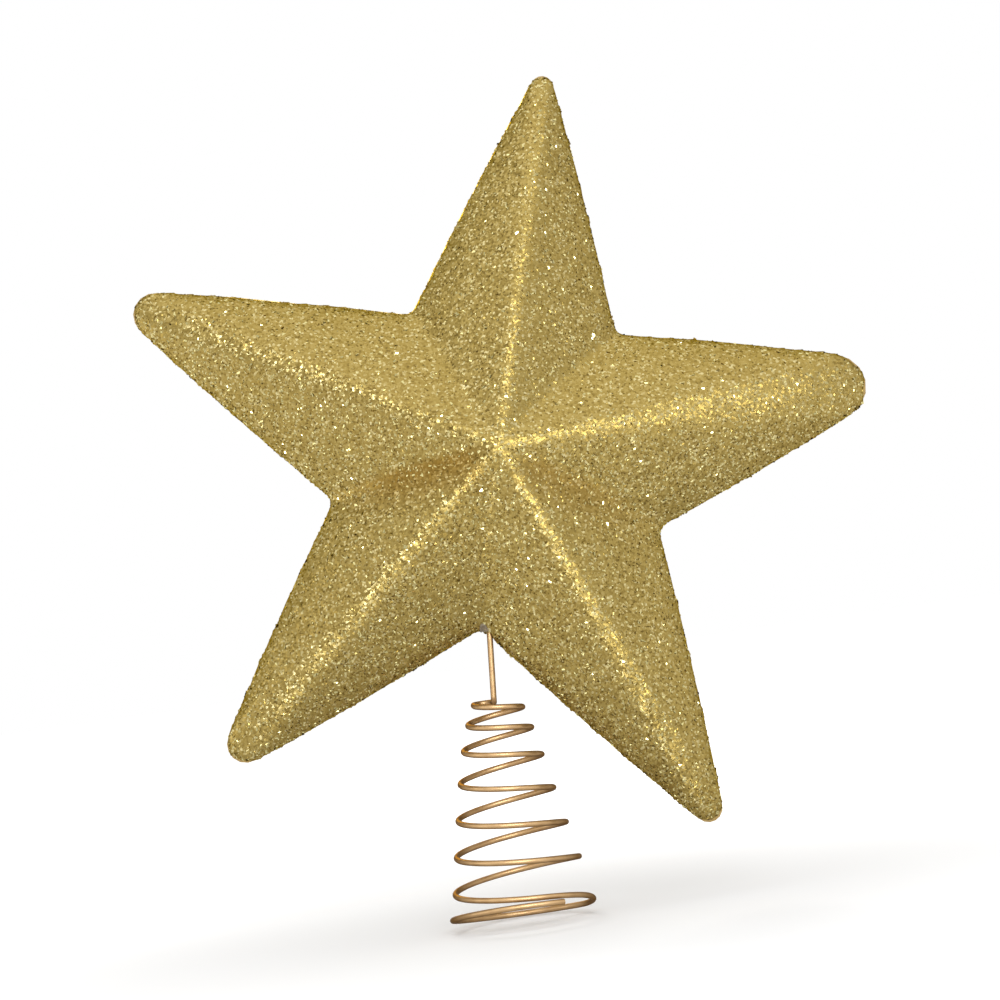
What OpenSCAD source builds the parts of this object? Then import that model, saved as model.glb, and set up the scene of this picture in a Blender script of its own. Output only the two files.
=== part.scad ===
// Five-pointed glitter star on a conical wire spring that grips the top shoot of a tree.
// The origin is the centre of the spring's lowest turn, +Z runs up the spring's axis
// and the star faces -Y. All sizes are in millimetres and angles in degrees.

/* [Star] */
// Distance from the star's centre to where the top arm's two straight edges would meet
top_reach = 137.4; // [125:0.1:160]
// The same for the right arm
right_reach = 135.4; // [125:0.1:160]
// The same for the lower right arm
lower_right_reach = 135.4; // [125:0.1:160]
// The same for the lower left arm
lower_left_reach = 132.8; // [125:0.1:160]
// The same for the left arm
left_reach = 136.5; // [125:0.1:160]
// Half the star's thickness at its centre, over the glitter
star_half_depth = 25; // [14:0.5:28]
// Radius of the top arm's nose
top_nose_r = 3.6; // [3:0.1:8]
// Radius of the right arm's nose
right_nose_r = 10.2; // [3:0.1:12]
// Radius of the lower right arm's nose
lower_right_nose_r = 4.5; // [3:0.1:10]
// Radius of the lower left arm's nose
lower_left_nose_r = 6; // [3:0.1:12]
// Radius of the left arm's nose
left_nose_r = 7; // [3:0.1:12]
// How far the top arm's pinched nose sits back towards the centre
top_nose_back = 9; // [0:0.1:10]
// How far the top arm's nose stands to the right of the arm's axis
top_nose_shift = 1.5; // [0:0.1:1.5]
// Radius in the five corners between the arms
corner_r = 3; // [0.8:0.1:4]
// How far the middle of an arm's edge swells out of the straight line
edge_bow = 0.5; // [0:0.1:1.5]

/* [Pose of the star at rest] */
// Lean of the star to its right, about the Y axis
lean_side = 13.5; // [0:0.1:20]
// Lean of the star to the rear, about the X axis
lean_back = 8.7; // [0:0.1:16]

/* [Shells] */
// Wall of the two moulded half shells
shell_wall = 1.2; // [0.8:0.1:2]
// Thickness of the glitter and its varnish
coat_t = 0.35; // [0.2:0.05:0.6]
// Thickness of the front shell's register lip
lip_t = 0.8; // [0.5:0.1:1.2]
// How far the lip reaches into the rear shell
lip_reach = 1.3; // [0.8:0.1:2]
// Room between the lip and the rear shell's inner face
lip_clearance = 0.1; // [0.05:0.01:0.2]

/* [Wire] */
// Diameter of the wire
wire_d = 1.8; // [1:0.05:1.8]
// Height of the stem from its foot to the star
stem_h = 19.4; // [15:0.1:35]
// How far the stem stands over to the right in that height
stem_side = 1.5; // [0:0.1:4]
// How far the stem stands over to the rear in that height
stem_back = 0.9; // [0:0.1:4]
// How far the foot stands to the left of the spring's axis
foot_side = 0.6; // [0:0.1:1.5]
// Length of wire inside the star, up to its hook
wire_inside = 17; // [12:0.5:22]
// Length of the hook at the wire's inner end
hook_l = 5; // [3:0.5:7]
// Radius of the wire's bends at the foot and the hook, at its centre
bend_r = 1.7; // [1.5:0.1:2.5]

/* [Spring] */
// Turns from the start of the spring to the left side of its lowest turn
spring_turns = 7; // [6:1:8]
// Radius of the spring's first turn, at the wire's centre
spring_top_r = 6.7; // [6:0.1:9]
// Radius of the spring's lowest turn, at the wire's centre
spring_base_r = 21.7; // [20:0.1:26]
// Height of the spring's start over the middle of its lowest turn
spring_h = 62.3; // [58:0.1:80]
// Pitch at the start of the first turn
first_pitch = 4.5; // [4:0.1:6]
// How much more the wire drops where it closes into the lowest turn
close_drop = 2.7; // [2.5:0.1:4]
// How far the lowest turn's front stands over its middle
front_rise = 3.3; // [0:0.1:3.5]
// How far the lowest turn's rear hangs below its middle
rear_fall = 2.7; // [0:0.1:4]
// How far the turns above it tilt down to the left
turn_tilt = 1.3; // [0:0.1:3]
// How far the middle of the spring bows to the left
spring_bow = 0.8; // [0:0.1:1]

/* [Glue] */
// Diameter of the hole that the wire goes through
hole_d = 2.8; // [2.2:0.1:3.6]
// How far the hole lies to the right of the corner between the lower arms
hole_side = 2.8; // [1:0.1:4]
// Radius of the lump of glue round the wire inside the star
lump_r = 3.6; // [2.4:0.1:4]
// How far behind the wire the lump's middle lies
lump_back = 1.4; // [1:0.1:2]
// How far the plug of glue reaches through the hole before the lump begins
plug_in = 6; // [6:0.1:8]
// How far up inside the hole the plug's round end begins
plug_set_in = 1.2; // [0:0.1:2]
// Gap round the plug, which shrinks as it cools
plug_clearance = 0.02; // [0.02:0.01:0.1]

/* [Hidden] */

arms = 5;
arm_step = 360 / arms;
half_tip = arm_step / 4;
reaches = [top_reach, right_reach, lower_right_reach, lower_left_reach, left_reach];
nose_rs = [top_nose_r, right_nose_r, lower_right_nose_r, lower_left_nose_r, left_nose_r];
// Least radius that a nose keeps where a wall's inner face is drawn
least_nose_r = 0.3;
// Number of points on an arm's nose, along each edge and in each corner
nose_n = 7;
edge_n = 2;
corner_n = 3;
// How far each nose's centre sits back along its arm, and to the right of it
nose_backs = [top_nose_back, 0, 0, 0, 0];
nose_shifts = [top_nose_shift, 0, 0, 0, 0];
// Distance from the star's centre to the lines of each arm's edges, and its mean
edge_lines = [for (reach = reaches) reach * sin(half_tip)];
edge_line = edge_lines * [1, 1, 1, 1, 1] / arms;
// Ratio of a wall measured along Y to the same wall measured square to a face
face_slope = norm([1, star_half_depth / edge_line]);
// Where the rings of a face lie, as shares of the way from its middle to the outline
ring_shares = [0.05, 0.14, 0.27, 0.42, 0.58, 0.73, 0.85, 0.935, 0.98, 1];
face_steps = len(ring_shares) - 1;
least_share_step = 0.01;
// A face falls nearly straight from its middle and turns down steeply at the outline
crown_power = 0.95;
edge_power = 0.75;

function polar(r, a) = [r * cos(a), r * sin(a)];
function unit(v) = v / norm(v);
function smooth(x) = let (s = min(1, max(0, x))) s * s * (3 - 2 * s);
function backwards(list) = [for (i = [len(list) - 1:-1:0]) list[i]];

// The star's outline moved inwards by inset, clockwise from the left side of the top nose
function nose_points(i, inset) =
    let (a = 90 - arm_step * i, r = max(least_nose_r, nose_rs[i] - inset),
         c = polar((edge_lines[i] - inset - r) / sin(half_tip) - nose_backs[i], a)
             + polar(nose_shifts[i], a - 90))
    [for (j = [0:nose_n - 1]) c + polar(r, a + (90 - half_tip) * (1 - 2 * j / (nose_n - 1)))];
// Where lines outside the edges of an arm and the next one, by a distance out, meet
function corner_middle(i, out) =
    let (a = 90 - arm_step * (i + 0.5), e1 = edge_lines[i] + out,
         e2 = edge_lines[(i + 1) % arms] + out)
    polar((e1 + e2) / 2 / cos(arm_step / 2), a) + polar((e2 - e1) / 2 / sin(arm_step / 2), a + 90);
function corner_points(i, inset) =
    let (a = 90 - arm_step * i, r = corner_r + inset, c = corner_middle(i, corner_r))
    [for (j = [0:corner_n - 1]) c + polar(r, a + 180 - arm_step * (1 - j / (corner_n - 1)))];
function edge_points(from, to, normal) =
    [for (j = [1:edge_n]) let (s = j / (edge_n + 1))
        from + (to - from) * s + edge_bow * sin(180 * s) * polar(1, normal)];
function outline(inset) =
    [for (i = [0:arms - 1])
        let (a = 90 - arm_step * i, nose = nose_points(i, inset),
             corner = corner_points(i, inset), next = nose_points((i + 1) % arms, inset))
        each concat(nose,
                    edge_points(nose[nose_n - 1], corner[0], a - arm_step),
                    corner,
                    edge_points(corner[corner_n - 1], next[0], a))];

// A face's middle height, its height at a share of the way out, and the share for a height
function face_middle(inset) = star_half_depth - inset * face_slope;
function face_height(share, inset) =
    face_middle(inset) * pow(1 - pow(share, crown_power), edge_power);
function share_at(h, inset) =
    pow(1 - pow(h / face_middle(inset), 1 / edge_power), 1 / crown_power);
function ring(inset, share, y) = [for (p = outline(inset)) [share * p.x, y, share * p.y]];
function face_rings(inset, shares, side) =
    [for (s = shares) ring(inset, s, side * face_height(s, inset))];

// A closed surface from one pole through rings of equal length to another. The first
// out_n steps split their quads one way and the rest the other, so that faces that go
// out and come back over the same rings match.
module lofted(first_pole, rings, last_pole, out_n) {
    n = len(rings[0]);
    m = len(rings);
    last = 1 + (m - 1) * n;
    polyhedron(concat([first_pole], [for (r = rings) each r], [last_pole]), concat(
        [for (i = [0:n - 1]) [0, 1 + i, 1 + (i + 1) % n]],
        [for (k = [0:m - 2], i = [0:n - 1])
            let (a = 1 + k * n + i, a2 = 1 + k * n + (i + 1) % n, b = a + n, b2 = a2 + n)
            each (k < out_n ? [[a, b, b2], [a, b2, a2]] : [[a, b, a2], [a2, b, b2]])],
        [for (i = [0:n - 1]) [last + i, last + n, last + (i + 1) % n]]));
}

// Half of a skin between two insets: the front half, or the rear one by a mirror
module half_skin(inset, inner)
    lofted([0, -face_middle(inset), 0],
           concat(face_rings(inset, ring_shares, -1),
                  backwards(face_rings(inner, ring_shares, -1))),
           [0, -face_middle(inner), 0], face_steps);

// The register lip stands clear of the rear shell's inner face at the lip's very end
outer_inset = coat_t;
inner_inset = coat_t + shell_wall;
lip_share = share_at(lip_reach, inner_inset) - lip_clearance / (edge_line - inner_inset);
lip_inner_share = lip_share - lip_t / (edge_line - inner_inset);
module front_half()
    lofted([0, -face_middle(outer_inset), 0],
           concat(face_rings(outer_inset, ring_shares, -1),
                  [ring(inner_inset, lip_share, 0), ring(inner_inset, lip_share, lip_reach),
                   ring(inner_inset, lip_inner_share, lip_reach)],
                  backwards(face_rings(inner_inset,
                      [for (s = ring_shares) if (s < lip_inner_share - least_share_step) s,
                       lip_inner_share], -1))),
           [0, -face_middle(inner_inset), 0], face_steps);

// The wire's path: hook, stem, foot, the flat half turn over the spring, then the spring
foot = [-foot_side, 0, spring_h];
stem_way = [stem_side, stem_back, stem_h];
stem_dir = unit(stem_way);
entry = foot + stem_way;
hook_dir = unit([stem_dir.z, 0, -stem_dir.x]);
hook_corner = entry + wire_inside * stem_dir;
rear_dir = [0, 1, 0];
bend_n = 5;
half_turn_n = 12;
// A bend through a corner from direction d1 to direction d2
function bend(corner, d1, d2) =
    [for (j = [0:bend_n]) let (a = 90 * j / bend_n)
        corner + bend_r * ((sin(a) - 1) * d1 + (1 - cos(a)) * d2)];
flat_r = (spring_top_r - foot_side) / 2;
function flat_point(a) =
    [-foot_side - flat_r + flat_r * cos(a), bend_r + flat_r * sin(a), spring_h];
lead = concat([hook_corner + hook_l * hook_dir],
              bend(hook_corner, -hook_dir, -stem_dir),
              bend(foot, -stem_dir, rear_dir),
              [for (j = [1:half_turn_n]) flat_point(180 * j / half_turn_n)]);

// The spring: its pitch grows over the first turns, and it closes into a tilted lowest turn
rings_per_turn = 24;
even_turn = 0.45 * spring_turns;
last_open_turn = spring_turns - 0.5;
open_pitch = (spring_h - close_drop - first_pitch * even_turn / 2)
    / (last_open_turn - even_turn / 2);
close_start = spring_turns - 0.7;
close_end = spring_turns - 0.4;
end_turn = spring_turns + 0.34;
function helix_drop(t) =
    let (s = min(t, even_turn))
    first_pitch * s + (open_pitch - first_pitch) * s * s / even_turn / 2
        + open_pitch * max(0, t - even_turn);
function base_drop(t) =
    let (u = sin(360 * t))
    spring_h - (u > 0 ? front_rise : rear_fall) * u;
function closing(t) = smooth((t - close_start) / (close_end - close_start));
function drop(t, side) =
    let (w = closing(t))
    (helix_drop(t) - smooth(t) * tan(turn_tilt) * side) * (1 - w) + base_drop(t) * w;
function spring_point(t) =
    let (a = 180 + 360 * t,
         r = spring_top_r + (spring_base_r - spring_top_r) * min(1, t / spring_turns))
    [r * cos(a) - spring_bow * sin(180 * min(1, t / spring_turns)), r * sin(a),
     spring_h - drop(t, r * cos(a))];
path = concat(lead,
              [for (j = [0:floor(end_turn * rings_per_turn)]) spring_point(j / rings_per_turn)],
              [spring_point(end_turn)]);

// The wire's round section is carried along the path without twisting
wire_r = wire_d / 2;
wire_sides = 6;
path_n = len(path);
ways = [for (i = [0:path_n - 1]) unit(path[min(i + 1, path_n - 1)] - path[max(i - 1, 0)])];
sides = [for (i = 0, v = unit(cross(ways[0], stem_dir)); i < path_n;
              i = i + 1, v = i < path_n ? unit(v - (v * ways[i]) * ways[i]) : v) v];
function wire_ring(i) =
    [for (j = [0:wire_sides - 1]) let (a = 360 * j / wire_sides)
        path[i] + wire_r * (cos(a) * sides[i] + sin(a) * cross(ways[i], sides[i]))];
module wire(from, to)
    lofted(path[from], [for (i = [from:to]) wire_ring(i)], path[to], to - from);

// Where one stretch of the wire hands over to the next
spring_start = len(lead);
sway_end = spring_start + 1.5 * rings_per_turn;
nod_end = spring_start + 3 * rings_per_turn;
bob_end = spring_start + (spring_turns - 2) * rings_per_turn;

// Least gap between the wire and itself, past the stretch that is simply next along it
next_along = 6 * wire_d;
run = [for (i = 0, s = 0; i < path_n;
            i = i + 1, s = i < path_n ? s + norm(path[i] - path[i - 1]) : s) s];
least_gap = min([for (i = [0:path_n - 1], j = [i + 1:path_n - 1])
                 if (run[j] - run[i] > next_along) norm(path[j] - path[i])]) - wire_d;
echo(least_gap_between_turns = least_gap);

module seat_turns() color([0.78, 0.59, 0.39]) wire(bob_end, path_n - 1);
module lower_coils() color([0.80, 0.61, 0.40]) wire(nod_end, bob_end);
module middle_coils() color([0.78, 0.59, 0.39]) wire(sway_end, nod_end);
module upper_coils() color([0.80, 0.61, 0.40]) wire(spring_start, sway_end);
module wire_stem() color([0.78, 0.59, 0.39]) wire(0, spring_start);

// The star's hole, in the lower right arm's edge beside the corner, is where the stem enters
hole_middle = corner_middle(2, 0) + hole_side * [1, -tan(arm_step / 2)];
module in_star_place()
    translate(entry) rotate([-lean_back, 0, 0]) rotate([0, lean_side, 0])
        translate([-hole_middle.x, 0, -hole_middle.y]) children();

// A round bar along the stem's line, between two distances from the entry
module along_stem(d, from, to)
    translate(entry + from * stem_dir)
        rotate([0, acos(stem_dir.z), atan2(stem_dir.y, stem_dir.x)])
            cylinder(d = d, h = to - from, $fn = 48);
module wire_hole() along_stem(hole_d, -hole_d, 3 * hole_d);

module front_shell() color([0.66, 0.53, 0.28])
    difference() {
        in_star_place() front_half();
        wire_hole();
    }
module rear_shell() color([0.62, 0.50, 0.27])
    difference() {
        in_star_place() mirror([0, 1, 0]) half_skin(outer_inset, inner_inset);
        wire_hole();
    }
module glitter_coat() color([0.74, 0.64, 0.40])
    difference() {
        in_star_place() {
            half_skin(0, outer_inset);
            mirror([0, 1, 0]) half_skin(0, outer_inset);
        }
        wire_hole();
    }

// One shot of glue: a plug round the wire in the hole, with a lump inside that holds it. The
// lump lies a little behind the wire, where the hollow corner has room.
plug_d = hole_d - 2 * plug_clearance;
plug_start = plug_set_in + plug_d / 2;
lump_middle = entry + (plug_in + lump_r) * stem_dir + [0, lump_back, 0];
module hot_melt_glue() color([0.90, 0.88, 0.82, 0.8])
    difference() {
        union() {
            translate(entry + plug_start * stem_dir) sphere(d = plug_d, $fn = 48);
            along_stem(plug_d, plug_start, plug_in + lump_r);
            translate(lump_middle) sphere(lump_r, $fn = 48);
        }
        along_stem(wire_d, plug_start - plug_d, plug_in + 3 * lump_r);
    }

seat_turns();
lower_coils();
middle_coils();
upper_coils();
wire_stem();
front_shell();
rear_shell();
glitter_coat();
hot_melt_glue();
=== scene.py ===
import math

import bmesh
import bpy
from mathutils import Matrix, Vector


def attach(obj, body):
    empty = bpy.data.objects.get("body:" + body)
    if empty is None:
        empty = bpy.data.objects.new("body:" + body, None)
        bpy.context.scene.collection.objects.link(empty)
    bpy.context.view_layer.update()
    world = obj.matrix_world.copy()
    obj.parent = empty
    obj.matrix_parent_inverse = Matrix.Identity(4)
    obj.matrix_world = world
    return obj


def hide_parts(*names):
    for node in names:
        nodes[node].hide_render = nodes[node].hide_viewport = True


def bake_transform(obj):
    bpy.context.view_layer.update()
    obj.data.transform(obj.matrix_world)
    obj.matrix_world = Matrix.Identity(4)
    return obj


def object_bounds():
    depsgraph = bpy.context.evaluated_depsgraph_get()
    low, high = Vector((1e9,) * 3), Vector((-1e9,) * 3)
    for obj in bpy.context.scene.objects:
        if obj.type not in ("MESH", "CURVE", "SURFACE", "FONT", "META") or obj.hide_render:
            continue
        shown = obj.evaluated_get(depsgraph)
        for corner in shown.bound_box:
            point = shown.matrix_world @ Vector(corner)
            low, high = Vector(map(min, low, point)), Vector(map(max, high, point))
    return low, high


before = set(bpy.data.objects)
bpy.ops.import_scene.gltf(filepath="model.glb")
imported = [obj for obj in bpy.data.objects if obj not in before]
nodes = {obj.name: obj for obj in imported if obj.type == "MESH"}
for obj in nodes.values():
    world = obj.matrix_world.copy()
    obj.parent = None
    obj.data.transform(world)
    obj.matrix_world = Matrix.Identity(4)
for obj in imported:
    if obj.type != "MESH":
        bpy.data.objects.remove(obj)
cad_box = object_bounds()


# The star's two half shells
# Thin moulded halves in gold plastic, the front one with a register lip that seats inside the
# rear one. The glitter hides all but the rim of the wire's hole. Both are eased in depth a
# little, to lie well under the glitter's rounded ridges.

weld_distance = 2e-6
star_middle = Vector((0.0111, 0.0088, 0.1334))
lean_back = math.radians(8.7)
star_front = Vector((0, -math.cos(lean_back), math.sin(lean_back)))
depth_share = 0.93
shell_gold = (0.38, 0.25, 0.07)
shell_mottle = [(0.3, (0.33, 0.21, 0.06)), (0.7, (0.43, 0.29, 0.09))]


def new_material(name, colour, metallic, roughness):
    material = bpy.data.materials.new(name)
    material.use_nodes = True
    shader = material.node_tree.nodes["Principled BSDF"]
    shader.inputs["Base Color"].default_value = (*colour, 1)
    shader.inputs["Metallic"].default_value = metallic
    shader.inputs["Roughness"].default_value = roughness
    return material, material.node_tree, shader


def add_node(tree, kind, **settings):
    made = tree.nodes.new(kind)
    for key, value in settings.items():
        if key in made.inputs:
            made.inputs[key].default_value = value
        else:
            setattr(made, key, value)
    return made


def object_noise(tree, scale, detail=2.0):
    place = add_node(tree, "ShaderNodeTexCoord")
    noise = add_node(tree, "ShaderNodeTexNoise", Scale=scale, Detail=detail)
    tree.links.new(place.outputs["Object"], noise.inputs["Vector"])
    return noise.outputs["Fac"]


def colour_steps(tree, source, steps):
    ramp = add_node(tree, "ShaderNodeValToRGB")
    while len(ramp.color_ramp.elements) < len(steps):
        ramp.color_ramp.elements.new(0.5)
    for element, (position, colour) in zip(ramp.color_ramp.elements, steps):
        element.position = position
        element.color = (*colour, 1)
    tree.links.new(source, ramp.inputs["Fac"])
    return ramp.outputs["Color"]


def merged_copy(node):
    form = bmesh.new()
    form.from_mesh(nodes[node].data)
    bmesh.ops.remove_doubles(form, verts=form.verts, dist=weld_distance)
    return form


def new_piece(name, form):
    piece = bpy.data.objects.new(name, bpy.data.meshes.new(name))
    form.to_mesh(piece.data)
    form.free()
    bpy.context.scene.collection.objects.link(piece)
    return piece


def set_finish(piece, material):
    piece.data.materials.clear()
    piece.data.materials.append(material)


def stood_along(place, way, axis="Z", up="Y"):
    return Matrix.Translation(place) @ way.to_track_quat(axis, up).to_matrix().to_4x4()


shell_plastic, tree, shader = new_material("gold_shell_plastic", shell_gold,
                                           metallic=0.0, roughness=0.4)
mottle = object_noise(tree, scale=900.0)
tree.links.new(colour_steps(tree, mottle, shell_mottle), shader.inputs["Base Color"])

star_frame = stood_along(star_middle, star_front, "Y", "Z")
for name, node in (("front_half", "front_shell"), ("rear_half", "rear_shell")):
    form = merged_copy(node)
    bmesh.ops.scale(form, verts=form.verts, vec=(1, depth_share, 1), space=star_frame.inverted())
    half = new_piece(name, form)
    set_finish(half, shell_plastic)
    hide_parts(node)
    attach(half, "star")


# The glitter
# Varnish on both shells with fine glitter set in it, which rounds the ridges and bridges the
# seam. Larger flakes are strewn over it, each at its own slight tilt, so that some flash and
# others look dark; their pale and brown tints add painted glints and dark reflections. They lie
# thinner on the sides that face up, which paints shade and glints on the sides that face down,
# and in two corners beside the middle, where the glitter is browned as painted shade.

# The foot of the wire's stem on the spring, and the hole where the stem enters the star
spring_height = 0.0623
foot = Vector((-0.0006, 0, spring_height))
entry = foot + Vector((0.0015, 0.0009, 0.0194))
up_stem = (entry - foot).normalized()
hole_radius = 0.0014
mouth_radius = 1.2 * hole_radius
mouth_reach = 0.006

# The grid of the even skin, how far from the seam its smoothing begins and grows to the full,
# how often it is smoothed, how far its grains stand out and how thick it is
skin_grid = 0.0013
seam_half_width, seam_fade = 0.002, 0.008
ridge_passes = 8
grain_height = 0.0003
skin_thickness = 0.0003

# The painted shade in the corners below the side arms, which browns the glitter there: the
# notch that each runs to, how far from the middle it begins and how strong it is, then its
# lengths along and across
painted_shade_corners = [(Vector((-0.0406, 0.0082, 0.1297)), 0.002, 1.0),
                 (Vector((0.0570, 0.0048, 0.1074)), 0.005, 0.65)]
valley_rise, valley_hold, valley_fade = 0.008, 0.026, 0.030
width_below, width_above = 0.014, 0.003


def finished_mesh(shape):
    bpy.context.view_layer.update()
    return bpy.data.meshes.new_from_object(
        shape.evaluated_get(bpy.context.evaluated_depsgraph_get()))


def apply_modifiers(piece):
    finished = finished_mesh(piece)
    piece.modifiers.clear()
    piece.data = finished


def smooth(x):
    s = min(1, max(0, x))
    return s * s * (3 - 2 * s)


skin = merged_copy("glitter_coat")
lining = [face for face in skin.faces
          if face.normal.dot(face.calc_center_median() - star_middle) < 0]
bmesh.ops.delete(skin, geom=lining, context="FACES")
bmesh.ops.holes_fill(skin, edges=[edge for edge in skin.edges if edge.is_boundary])
glitter_base = new_piece("glitter_base", skin)
even = glitter_base.modifiers.new("even", "REMESH")
even.mode = "VOXEL"
even.voxel_size = skin_grid
apply_modifiers(glitter_base)

away_from_seam = glitter_base.vertex_groups.new(name="away_from_seam")
for vertex in glitter_base.data.vertices:
    depth = abs((vertex.co - star_middle).dot(star_front))
    share = smooth((depth - seam_half_width) / seam_fade)
    away_from_seam.add([vertex.index], share, "REPLACE")
ridges = glitter_base.modifiers.new("ridges", "SMOOTH")
ridges.vertex_group = "away_from_seam"
ridges.factor = 0.5
ridges.iterations = ridge_passes
grown = glitter_base.modifiers.new("grown", "DISPLACE")
grown.mid_level = 0
grown.strength = grain_height
apply_modifiers(glitter_base)


def near_stem(place):
    along = (place - entry).dot(up_stem)
    off_stem = (place - entry - along * up_stem).length
    return abs(along) < mouth_reach and off_stem < mouth_radius


painted_shade_valleys = []
for notch, begin, strength in painted_shade_corners:
    along = (notch - star_middle).normalized()
    across = along.cross(star_front)
    below = across if across.z < 0 else -across
    painted_shade_valleys.append((along, below, begin, strength))


# Marks the painted shade: how strongly each point lies in the two valleys beside the middle
def mark_valley_shade(mesh):
    marks = mesh.attributes.new("valley", "FLOAT", "POINT")
    for vertex in mesh.vertices:
        place = vertex.co - star_middle
        deepest = 0
        for along, below, begin, strength in painted_shade_valleys:
            run, drop = place.dot(along), place.dot(below)
            ending = 1 - smooth((run - valley_hold) / valley_fade)
            reach = smooth((run - begin) / valley_rise) * ending
            side = 1 - smooth(drop / width_below if drop > 0 else -drop / width_above)
            deepest = max(deepest, strength * reach * side)
        marks.data[vertex.index].value = deepest


# The flakes are strewn on the outside alone, and not over the mouth of the wire's hole
skin = bmesh.new()
skin.from_mesh(glitter_base.data)
mouth = [face for face in skin.faces if near_stem(face.calc_center_median())]
bmesh.ops.delete(skin, geom=mouth, context="FACES")
coat_outside = bpy.data.meshes.new("coat_outside")
skin.to_mesh(coat_outside)
skin.free()
mark_valley_shade(coat_outside)

drill = bmesh.new()
bmesh.ops.create_cone(drill, cap_ends=True, segments=24, radius1=hole_radius,
                      radius2=hole_radius, depth=2 * mouth_reach,
                      matrix=stood_along(entry, up_stem))
drill_bit = new_piece("drill_bit", drill)
wall = glitter_base.modifiers.new("wall", "SOLIDIFY")
wall.thickness = skin_thickness
wall.offset = -1
hole = glitter_base.modifiers.new("hole", "BOOLEAN")
hole.operation = "DIFFERENCE"
hole.solver = "FAST"
hole.object = drill_bit
apply_modifiers(glitter_base)
bpy.data.objects.remove(drill_bit)
glitter_base.data.shade_smooth()
mark_valley_shade(glitter_base.data)

grazing_gold = (0.62, 0.48, 0.20, 1)
grain_gold = (0.45, 0.34, 0.12)
grain_tints = [(0.0, (0.15, 0.102, 0.026)), (0.08, (0.24, 0.167, 0.043)),
               (0.4, (0.29, 0.208, 0.057)), (0.85, (0.345, 0.257, 0.083)),
               (1.0, (0.56, 0.48, 0.24))]
grain_tilt = (0.34, 0.34, 0.34)
cell_middle = (0.5, 0.5, 0.5)
corner_shade_tint = (0.76, 0.64, 0.46, 1)


def feed(tree, source, socket):
    if isinstance(source, bpy.types.NodeSocket):
        tree.links.new(source, socket)
    else:
        socket.default_value = source


def add_step(tree, kind, operation, *sources):
    step = add_node(tree, kind, operation=operation)
    for source, socket in zip(sources, step.inputs):
        feed(tree, source, socket)
    return step


# A colour mix has its share at socket 0, its two colours at 6 and 7 and its result at 2
def multiplied(tree, share, colour, tint):
    mix = add_node(tree, "ShaderNodeMix", data_type="RGBA", blend_type="MULTIPLY")
    for source, socket in ((share, 0), (colour, 6), (tint, 7)):
        feed(tree, source, mix.inputs[socket])
    return mix.outputs[2]


fine_glitter, tree, shader = new_material("fine_glitter", grain_gold,
                                          metallic=1.0, roughness=0.33)
shader.inputs["Specular Tint"].default_value = grazing_gold
place = add_node(tree, "ShaderNodeTexCoord")
cells = add_node(tree, "ShaderNodeTexVoronoi", Scale=1600.0)
tree.links.new(place.outputs["Object"], cells.inputs["Vector"])
split = add_node(tree, "ShaderNodeSeparateColor")
tree.links.new(cells.outputs["Color"], split.inputs["Color"])
tints = colour_steps(tree, split.outputs["Red"], grain_tints)
# Painted shade: the grain is browned in the two valleys beside the middle
valley = add_node(tree, "ShaderNodeAttribute", attribute_name="valley")
shade_painted = multiplied(tree, valley.outputs["Fac"], tints, corner_shade_tint)
tree.links.new(shade_painted, shader.inputs["Base Color"])
surface = add_node(tree, "ShaderNodeNewGeometry")
centred = add_step(tree, "ShaderNodeVectorMath", "SUBTRACT", cells.outputs["Color"], cell_middle)
tilted = add_step(tree, "ShaderNodeVectorMath", "MULTIPLY_ADD", centred.outputs["Vector"],
                  grain_tilt, surface.outputs["Normal"])
facing = add_step(tree, "ShaderNodeVectorMath", "NORMALIZE", tilted.outputs["Vector"])
tree.links.new(facing.outputs["Vector"], shader.inputs["Normal"])
set_finish(glitter_base, fine_glitter)
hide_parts("glitter_coat")
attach(glitter_base, "star")

# How steeply a face looks down or up where the strewing changes, the share of flakes left in
# the corners of painted shade, and the range of a flake's size
looks_down, looks_up = -0.35, 0.5
shaded_corner_share = 0.6
least_size, greatest_size = 0.7, 1.25
mm = 0.001
mm2_in_m2 = 1e6
first_seed, seed_step = 3, 11


def spread_over(tree, source, low, high, from_low=0.0, from_high=1.0, curve="LINEAR"):
    mapped = add_node(tree, "ShaderNodeMapRange", interpolation_type=curve)
    for socket, value in (("From Min", from_low), ("From Max", from_high),
                          ("To Min", low), ("To Max", high)):
        mapped.inputs[socket].default_value = value
    tree.links.new(source, mapped.inputs["Value"])
    return mapped.outputs["Result"]


def random_vector(tree, low, high, seed):
    draw = add_node(tree, "FunctionNodeRandomValue", data_type="FLOAT_VECTOR", Seed=seed)
    draw.inputs[0].default_value = low
    draw.inputs[1].default_value = high
    return draw.outputs[0]


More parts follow.
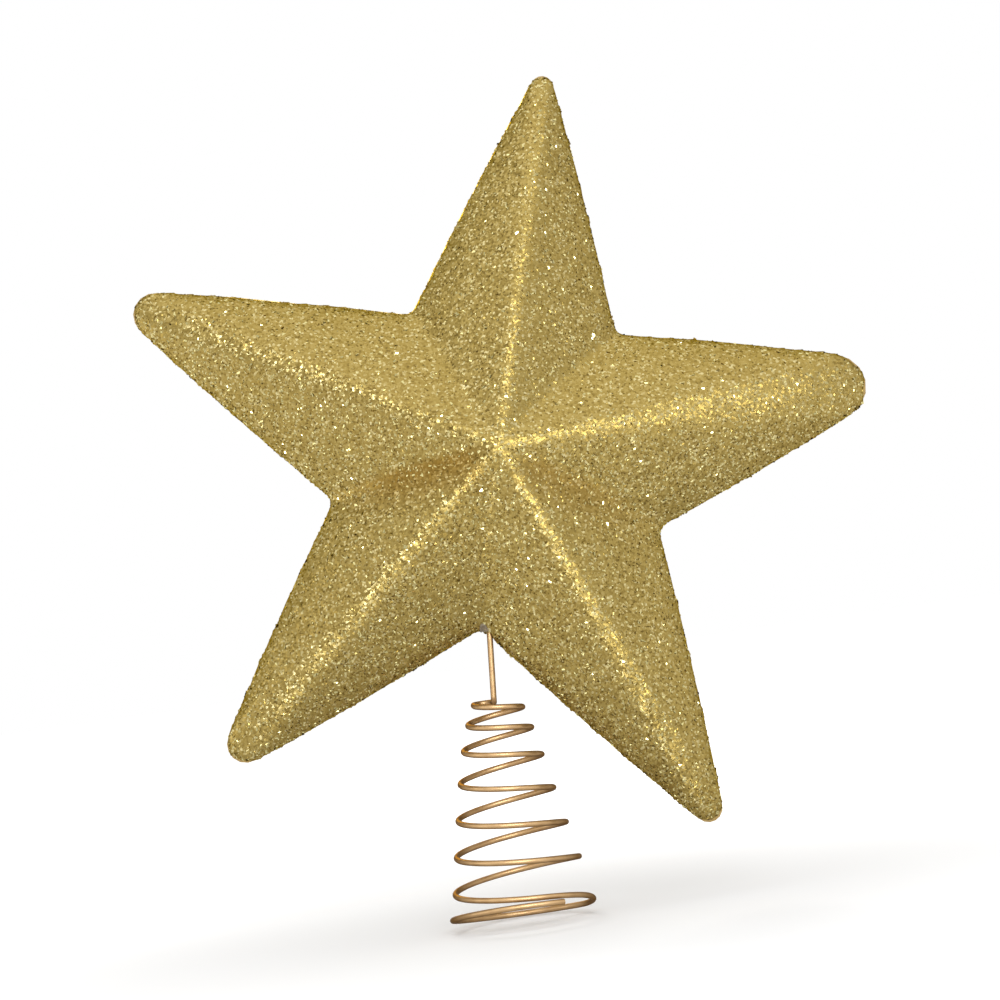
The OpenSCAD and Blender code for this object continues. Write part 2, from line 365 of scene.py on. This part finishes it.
def strewing_graph(name, material, per_mm2, below, above, radius, tilt, seed):
    graph = bpy.data.node_groups.new(name, "GeometryNodeTree")
    for way in ("INPUT", "OUTPUT"):
        graph.interface.new_socket("Geometry", in_out=way, socket_type="NodeSocketGeometry")
    start = graph.nodes.new("NodeGroupInput")
    end = graph.nodes.new("NodeGroupOutput")
    # Painted shade and glints: the flakes are strewn by how far each face looks down or up
    facing = add_node(graph, "GeometryNodeInputNormal")
    upward = add_node(graph, "ShaderNodeSeparateXYZ")
    graph.links.new(facing.outputs[0], upward.inputs[0])
    strewn = spread_over(graph, upward.outputs["Z"], below * per_mm2 * mm2_in_m2,
                         above * per_mm2 * mm2_in_m2, looks_down, looks_up)
    # Painted shade: fewer flakes are left in the two valleys beside the middle
    valley = add_node(graph, "GeometryNodeInputNamedAttribute", Name="valley")
    shade_thinning = spread_over(graph, valley.outputs[0], 1.0, shaded_corner_share)
    density = add_step(graph, "ShaderNodeMath", "MULTIPLY", strewn, shade_thinning)
    points = add_node(graph, "GeometryNodeDistributePointsOnFaces", Seed=seed)
    flake = add_node(graph, "GeometryNodeMeshCircle", fill_type="NGON", Vertices=4, Radius=1.0)
    turn = random_vector(graph, (-tilt, -tilt, -math.pi), (tilt, tilt, math.pi), seed + 1)
    as_rotation = add_node(graph, "FunctionNodeEulerToRotation")
    turned = add_node(graph, "FunctionNodeRotateRotation", rotation_space="LOCAL")
    least, greatest = least_size * radius, greatest_size * radius
    size = random_vector(graph, (least, least, radius), (greatest, greatest, radius), seed + 2)
    spread = add_node(graph, "GeometryNodeInstanceOnPoints")
    solid = add_node(graph, "GeometryNodeRealizeInstances")
    finish = add_node(graph, "GeometryNodeSetMaterial", Material=material)
    for source, target in (
            (start.outputs[0], points.inputs["Mesh"]),
            (density.outputs["Value"], points.inputs["Density"]),
            (points.outputs["Points"], spread.inputs["Points"]),
            (flake.outputs["Mesh"], spread.inputs["Instance"]),
            (turn, as_rotation.inputs[0]),
            (points.outputs["Rotation"], turned.inputs["Rotation"]),
            (as_rotation.outputs[0], turned.inputs["Rotate By"]),
            (turned.outputs[0], spread.inputs["Rotation"]),
            (size, spread.inputs["Scale"]),
            (spread.outputs["Instances"], solid.inputs[0]),
            (solid.outputs[0], finish.inputs["Geometry"]),
            (finish.outputs[0], end.inputs[0])):
        graph.links.new(source, target)
    return graph


# Each finish has its colour and roughness, its flakes in a square millimetre and the shares of
# them on faces that look down and up, then half a flake's diagonal in mm and its greatest tilt.
# The shares paint shade and glints on the faces that look down.
# Beside the flakes' own spread of tone, the pale tints are partly painted glints and the brown
# ones partly painted dark reflections
flake_finishes = [
    ("flakes_pale", (0.62, 0.56, 0.27), 0.10, 0.19, 1.75, 0.25, 0.42, 0.75),
    ("flakes_light", (0.42, 0.335, 0.125), 0.18, 0.22, 1.2, 0.55, 0.42, 0.45),
    ("flakes_gold", (0.345, 0.25, 0.072), 0.24, 0.26, 0.9, 1.1, 0.43, 0.32),
    ("flakes_deep", (0.22, 0.150, 0.035), 0.28, 0.19, 1.6, 0.35, 0.42, 0.34),
    ("flakes_brown", (0.10, 0.060, 0.012), 0.36, 0.10, 2.2, 0.0, 0.38, 0.42),
    ("flakes_flash", (0.52, 0.46, 0.21), 0.06, 0.05, 1.3, 0.6, 0.65, 0.42),
]
for number, finish in enumerate(flake_finishes):
    name, colour, roughness, per_mm2, below, above, radius, tilt = finish
    material, tree, shader = new_material(name, colour, metallic=1.0, roughness=roughness)
    shader.inputs["Specular Tint"].default_value = grazing_gold
    flakes = bpy.data.objects.new(name, coat_outside.copy())
    bpy.context.scene.collection.objects.link(flakes)
    flakes.modifiers.new("scatter", "NODES").node_group = strewing_graph(
        name, material, per_mm2, below, above, radius * mm, tilt, seed_step * number + first_seed)
    apply_modifiers(flakes)
    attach(flakes, "star")


# The wire
# One length of copper-gold coated steel wire, 1.8 mm thick: a hook inside the star, the stem,
# a flat half turn at its foot and then the cone spring, left-handed, whose lowest turn lies
# nearly flat and ends in a plain cut. It is built in stretches, each in place of one wire part.

wire_radius = 0.00088
top_radius, base_radius, turns = 0.0067, 0.0217, 7
first_pitch, close_drop = 0.0045, 0.0027
front_rise, rear_fall = 0.0033, 0.0027
turn_slope = math.tan(math.radians(1.3))
spring_bow = 0.0008
# The turn from which the pitch is even, the last open turn, how long before the last turn's
# end the spring begins to close, and over how much of a turn it does
even_turn = 0.45 * turns
last_open_turn = turns - 0.5
close_ahead, close_over = 0.7, 0.3
open_pitch = ((spring_height - close_drop - first_pitch * even_turn / 2)
              / (last_open_turn - even_turn / 2))


def spring_point(t):
    s = min(t, even_turn)
    helix = (first_pitch * s + (open_pitch - first_pitch) * s * s / even_turn / 2
             + open_pitch * max(0, t - even_turn))
    lift = math.sin(2 * math.pi * t)
    ring = spring_height - (front_rise if lift > 0 else rear_fall) * lift
    closing = smooth((t - turns + close_ahead) / close_over)
    grown = min(1, t / turns)
    radius = top_radius + (base_radius - top_radius) * grown
    angle = math.pi + 2 * math.pi * t
    side = radius * math.cos(angle)
    tilt = smooth(t) * turn_slope * side
    return Vector((side - spring_bow * math.sin(math.pi * grown), radius * math.sin(angle),
                   spring_height - (helix - tilt) * (1 - closing) - ring * closing))


wire_inside, hook_length = 0.017, 0.005
hook_corner = entry + wire_inside * up_stem
hook_way = Vector((up_stem.z, 0, -up_stem.x)).normalized()
bend_radius, bend_steps = 0.0017, 8


def bend(corner, way_in, way_out):
    return [corner + bend_radius * ((math.sin(a) - 1) * way_in + (1 - math.cos(a)) * way_out)
            for a in (math.pi / 2 * j / bend_steps for j in range(bend_steps + 1))]


flat_radius, flat_steps = (top_radius + foot.x) / 2, 20
flat_turn = [Vector((foot.x - flat_radius + flat_radius * math.cos(a),
                     bend_radius + flat_radius * math.sin(a), spring_height))
             for a in (math.pi * j / flat_steps for j in range(1, flat_steps + 1))]
to_the_rear = Vector((0, 1, 0))
stem_route = ([hook_corner + hook_length * hook_way] + bend(hook_corner, -hook_way, -up_stem)
              + bend(foot, -up_stem, to_the_rear) + flat_turn + [spring_point(0)])
steps_per_turn = 72


def stretch(first, last):
    steps = math.ceil((last - first) * steps_per_turn)
    return [spring_point(first + (last - first) * j / steps) for j in range(steps + 1)]


copper_gold = (0.62, 0.40, 0.20)
grazing_copper = (0.36, 0.26, 0.17, 1)
# From the middle of the wire as it is seen to its edges, a painted highlight fading to painted
# shade, and the slight streaks along it
copper_highlight_and_edge_shade = [(0.0, (0.63, 0.42, 0.215)), (0.35, (0.455, 0.30, 0.152)),
                (0.7, (0.29, 0.205, 0.132)), (1.0, (0.22, 0.168, 0.125))]
streak_tints = [(0.3, (0.80, 0.76, 0.72)), (0.7, (1.0, 1.0, 1.0))]
smooth_streak, rubbed_streak = 0.36, 0.48
wire_finish, tree, shader = new_material("copper_gold_wire", copper_gold,
                                         metallic=1.0, roughness=0.3)
shader.inputs["Specular Tint"].default_value = grazing_copper
# Painted highlight and shade: the wire's colour follows how squarely it faces the view
lie = add_node(tree, "ShaderNodeLayerWeight", Blend=0.5)
across = colour_steps(tree, lie.outputs["Facing"], copper_highlight_and_edge_shade)
streaks = object_noise(tree, scale=260.0, detail=3.0)
tone = colour_steps(tree, streaks, streak_tints)
tree.links.new(multiplied(tree, 1.0, across, tone), shader.inputs["Base Color"])
rub = spread_over(tree, streaks, smooth_streak, rubbed_streak)
tree.links.new(rub, shader.inputs["Roughness"])


def wire_piece(name, route, stands_for):
    line = bpy.data.curves.new(name, "CURVE")
    line.dimensions = "3D"
    line.bevel_depth = wire_radius
    line.bevel_resolution = 4
    line.use_fill_caps = True
    run = line.splines.new("POLY")
    run.points.add(len(route) - 1)
    for point, place in zip(run.points, route):
        point.co = (*place, 1)
    tube = bpy.data.objects.new(name + "_line", line)
    bpy.context.scene.collection.objects.link(tube)
    piece = bpy.data.objects.new(name, finished_mesh(tube))
    bpy.data.objects.remove(tube)
    bpy.context.scene.collection.objects.link(piece)
    piece.data.shade_smooth()
    set_finish(piece, wire_finish)
    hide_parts(stands_for)
    return piece


# The turns at which one stretch of the wire hands over to the next, and its cut end.
sway_end, nod_end, bob_end, wire_end = 1.5, 3, turns - 2, turns + 0.34
wire_seat = wire_piece("wire_seat", stretch(bob_end, wire_end), "seat_turns")
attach(wire_seat, "seat")
wire_lower = wire_piece("wire_lower", stretch(nod_end, bob_end), "lower_coils")
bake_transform(wire_lower)
wire_middle = wire_piece("wire_middle", stretch(sway_end, nod_end), "middle_coils")
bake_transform(wire_middle)
wire_upper = wire_piece("wire_upper", stretch(0, sway_end), "upper_coils")
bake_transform(wire_upper)
wire_stem = wire_piece("wire_stem_piece", stem_route, "wire_stem")
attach(wire_stem, "star")


# The glue
# One shot of clear hot-melt glue: a plug in the hole round the wire, with a lump behind it
# inside and a drop outside in the corner between the lower arms.

# The drop is dabbed on where a line from here straight to the rear meets the star. It has
# three lobes, each with its place and its three half sizes.
dab_start = entry + Vector((-0.00150, -0.05, 0.0030))
drop_lobes = [((0, 0, 0), (0.0013, 0.0015, 0.00055)),
              ((0.0006, -0.0008, -0.0001), (0.0010, 0.0009, 0.00050)),
              ((-0.0008, -0.0006, -0.0001), (0.0008, 0.0008, 0.00045))]
drop_grid, drop_passes = 0.00012, 6
glue_clear = (0.62, 0.55, 0.45)
glue_haze = [(0.35, (0.24, 0.18, 0.10)), (0.7, (0.40, 0.31, 0.19))]

glue_finish, tree, shader = new_material("clear_glue", glue_clear, metallic=0.0, roughness=0.3)
shader.inputs["Transmission Weight"].default_value = 0.45
shader.inputs["IOR"].default_value = 1.48
cloud = object_noise(tree, scale=1500.0)
tree.links.new(colour_steps(tree, cloud, glue_haze), shader.inputs["Base Color"])

touched, drop_place, drop_way, _ = glitter_base.ray_cast(dab_start, to_the_rear)
if not touched:
    raise RuntimeError("the glue drop finds no surface")
drop = bmesh.new()
for lobe_place, lobe_size in drop_lobes:
    lobe = bmesh.ops.create_uvsphere(drop, u_segments=32, v_segments=16, radius=1.0)["verts"]
    bmesh.ops.scale(drop, verts=lobe, vec=lobe_size)
    bmesh.ops.translate(drop, verts=lobe, vec=lobe_place)
bmesh.ops.transform(drop, verts=drop.verts, matrix=stood_along(drop_place, drop_way))
glue_drop = new_piece("glue_drop", drop)
run_together = glue_drop.modifiers.new("run_together", "REMESH")
run_together.mode = "VOXEL"
run_together.voxel_size = drop_grid
rounding = glue_drop.modifiers.new("rounding", "SMOOTH")
rounding.factor = 0.5
rounding.iterations = drop_passes
apply_modifiers(glue_drop)
glue_drop.data.shade_smooth()
set_finish(glue_drop, glue_finish)
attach(glue_drop, "star")
set_finish(nodes["hot_melt_glue"], glue_finish)


# The studio
# A pale floor under the spring, a white surround, soft lamps and the camera, which looks
# level at the star and is rolled a little, as the topper leans in the photograph.

white = (1, 1, 1, 1)
floor_reach, floor_gap = 3.0, 0.0003
floor_colour = (0.75, 0.74, 0.725)
# How much the floor is lifted towards white at its middle and past the reach of its painted
# shade; the lesser lift at the middle paints shade round the base, and the rise outwards paints
# light where the lamps fall off
shade_reach, shaded_middle_lift, outer_lift = 0.5, 0.12, 0.68
# The surround's level for the object, and as it is seen
surround_level, seen_level = 0.45, 1.0
lamp_aim = Vector((0, 0, 0.11))

floor_mesh = bmesh.new()
bmesh.ops.create_grid(floor_mesh, x_segments=1, y_segments=1, size=floor_reach,
                      matrix=Matrix.Translation((0, 0, cad_box[0][2] - floor_gap)))
floor = new_piece("floor", floor_mesh)


def background_rays(tree):
    ray = add_node(tree, "ShaderNodeLightPath")
    seen = add_step(tree, "ShaderNodeMath", "MAXIMUM", ray.outputs["Is Camera Ray"],
                    ray.outputs["Is Glossy Ray"])
    either = add_step(tree, "ShaderNodeMath", "MAXIMUM", seen.outputs["Value"],
                      ray.outputs["Is Transmission Ray"])
    return either.outputs["Value"]


floor_paint, tree, shader = new_material("pale_floor", floor_colour,
                                         metallic=0.0, roughness=0.9)
shader.inputs["Specular IOR Level"].default_value = 0.0
place = add_node(tree, "ShaderNodeTexCoord")
away = add_step(tree, "ShaderNodeVectorMath", "LENGTH", place.outputs["Object"])
# Painted shade round the base and painted light farther out, in the floor's glow
lift = spread_over(tree, away.outputs["Value"], shaded_middle_lift, outer_lift,
                   from_high=shade_reach, curve="SMOOTHSTEP")
lifted = add_step(tree, "ShaderNodeMath", "MULTIPLY", background_rays(tree), lift)
tree.links.new(lifted.outputs["Value"], shader.inputs["Emission Strength"])
shader.inputs["Emission Color"].default_value = white
set_finish(floor, floor_paint)

world = bpy.data.worlds.new("surround")
bpy.context.scene.world = world
world.use_nodes = True
air = world.node_tree.nodes["Background"]
air.inputs["Color"].default_value = white
level = spread_over(world.node_tree, background_rays(world.node_tree), surround_level, seen_level)
world.node_tree.links.new(level, air.inputs["Strength"])

# Each lamp has its place, its width and height, its watts and its colour
soft_lamps = [
    ("key", (0.14, -1.12, 0.53), 0.85, 0.24, 7.7, (0.95, 1.0, 1.08)),
    ("top", (0.08, -0.35, 1.25), 2.3, 1.9, 7.0, (1, 1, 1)),
    ("low", (0.0, -1.1, 0.04), 0.11, 0.11, 0.8, (1, 1, 1)),
    ("left", (-1.25, -0.35, 0.40), 0.9, 0.7, 2.4, (1, 1, 1)),
    ("right", (1.25, -0.35, 0.40), 0.9, 0.7, 0.8, (1, 1, 1)),
    ("back", (-0.25, 1.15, 0.62), 0.7, 0.3, 6.0, (1, 1, 1)),
]
for name, place, width, height, watts, colour in soft_lamps:
    light = bpy.data.lights.new(name, "AREA")
    light.shape = "ELLIPSE"
    light.size, light.size_y = width, height
    light.energy = watts
    light.color = colour
    lamp = bpy.data.objects.new(name, light)
    bpy.context.scene.collection.objects.link(lamp)
    lamp.location = place
    lamp.rotation_euler = (lamp_aim - Vector(place)).to_track_quat("-Z", "Y").to_euler()

camera_data = bpy.data.cameras.new("camera")
camera_data.sensor_width = 36
camera_data.lens = 126
camera_data.clip_start = 0.01
camera = bpy.data.objects.new("camera", camera_data)
bpy.context.scene.collection.objects.link(camera)
camera_place = Vector((0.0096, -1.0389, 0.0997))
ahead = Vector((0, 0.9998, 0.021)).normalized()
right = Vector((0.990, 0.003, -0.1405))
right = (right - right.dot(ahead) * ahead).normalized()
upwards = right.cross(ahead)
camera.matrix_world = Matrix.Translation(camera_place) @ Matrix(
    (right, upwards, -ahead)).transposed().to_4x4()
bpy.context.scene.camera = camera
bpy.context.scene.view_settings.view_transform = "Standard"
